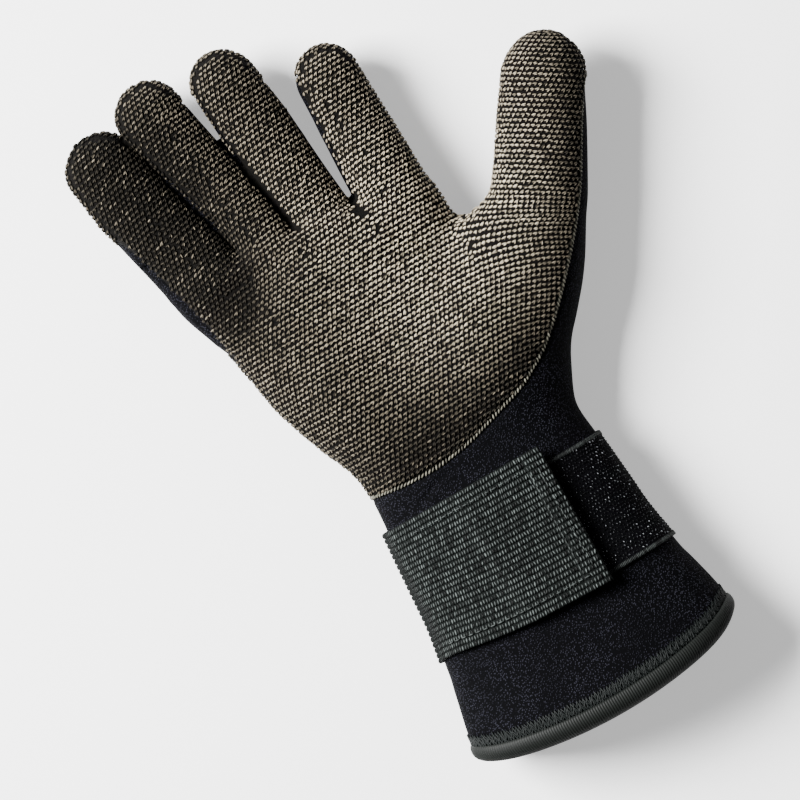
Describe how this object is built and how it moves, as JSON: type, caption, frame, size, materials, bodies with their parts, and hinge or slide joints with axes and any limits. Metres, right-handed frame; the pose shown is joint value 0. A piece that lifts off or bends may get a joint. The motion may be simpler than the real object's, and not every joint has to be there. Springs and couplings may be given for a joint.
{
  "type": "diving glove",
  "caption": "Right-hand neoprene diving glove with a grip-knit palm, flared gauntlet cuff, bound hem and an elastic wrist strap over hook tape.",
  "frame": {"origin": "middle of the underside's box, on the surface that the glove lies on", "axes": "+Y from the cuff to the fingertips, +X towards the thumb, +Z out of the palm"},
  "size_m": [0.2022, 0.3138, 0.0497],
  "materials": {
    "grip_knit": "raised rice-grain grip knit, tan loops over near-black gaps, bonded to 3 mm neoprene",
    "neoprene": "black neoprene faced with a fine matt jersey",
    "binding_tape": "ribbed dark grey-green binding tape",
    "ribbed_elastic": "dark grey ribbed elastic with pale twisted threads",
    "loop_pad": "black napped loop pad",
    "hook_tape": "black hook tape with fine shiny hooks and grey woven selvedges"
  },
  "bodies": {
    "root": {"palm_panel": "grip_knit", "back_and_cuff": "neoprene", "fourchette_little_ring": "neoprene", "fourchette_ring_middle": "neoprene", "fourchette_middle_index": "neoprene", "cuff_binding": "binding_tape", "wrist_strap": "ribbed_elastic", "strap_pad": "loop_pad", "hook_tape": "hook_tape"}
  },
  "joints": []
}
